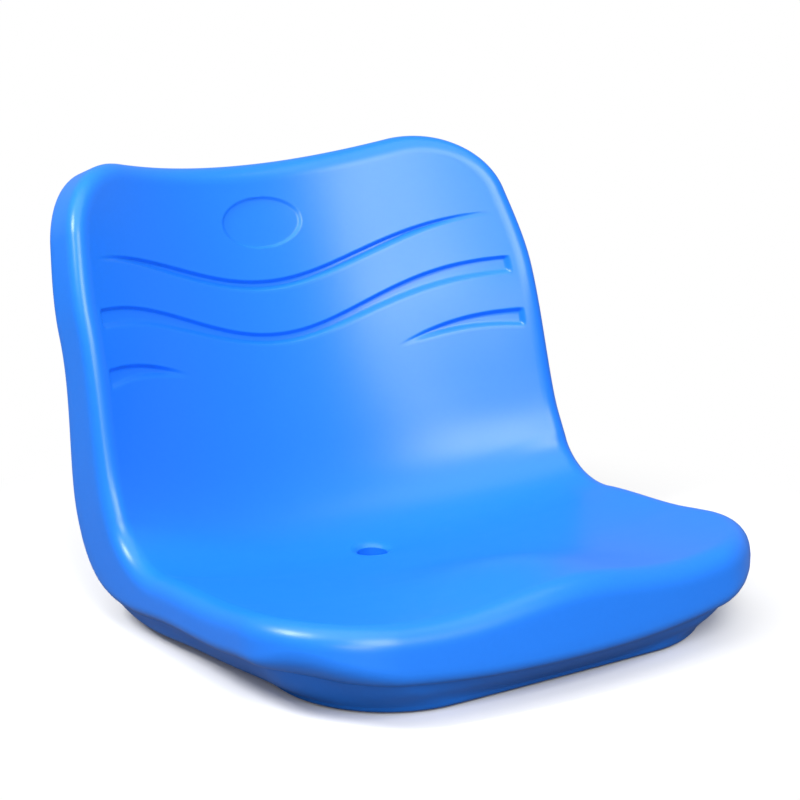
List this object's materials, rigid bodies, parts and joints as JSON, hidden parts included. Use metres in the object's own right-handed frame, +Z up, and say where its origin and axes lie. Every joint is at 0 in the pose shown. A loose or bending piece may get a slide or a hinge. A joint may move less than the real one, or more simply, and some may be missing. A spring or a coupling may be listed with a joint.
{
  "type": "stadium seat",
  "caption": "Fixed one-piece bucket seat: dished pan, low concave backrest with shallow wave grooves, thick rounded rim, drain through the pan and a low base that bolts down from below.",
  "frame": {"origin": "on the floor under the middle of the seat's bounding box, in the flat underside's plane", "axes": "+Z up, +Y from the front of the pan to the backrest, +X to the right seen from the front; X = 0 is the plane of symmetry"},
  "size_m": [0.4296, 0.4969, 0.3244],
  "materials": {
    "seat_plastic": "semi-gloss moulded polyethylene",
    "insert_steel": "zinc plated",
    "plug_plastic": "matt moulded polyethylene"
  },
  "bodies": {
    "root": {"seat_shell": "seat_plastic", "insert_front_left": "insert_steel", "insert_front_right": "insert_steel", "insert_rear_left": "insert_steel", "insert_rear_right": "insert_steel", "blow_hole_plug": "plug_plastic"}
  },
  "joints": []
}
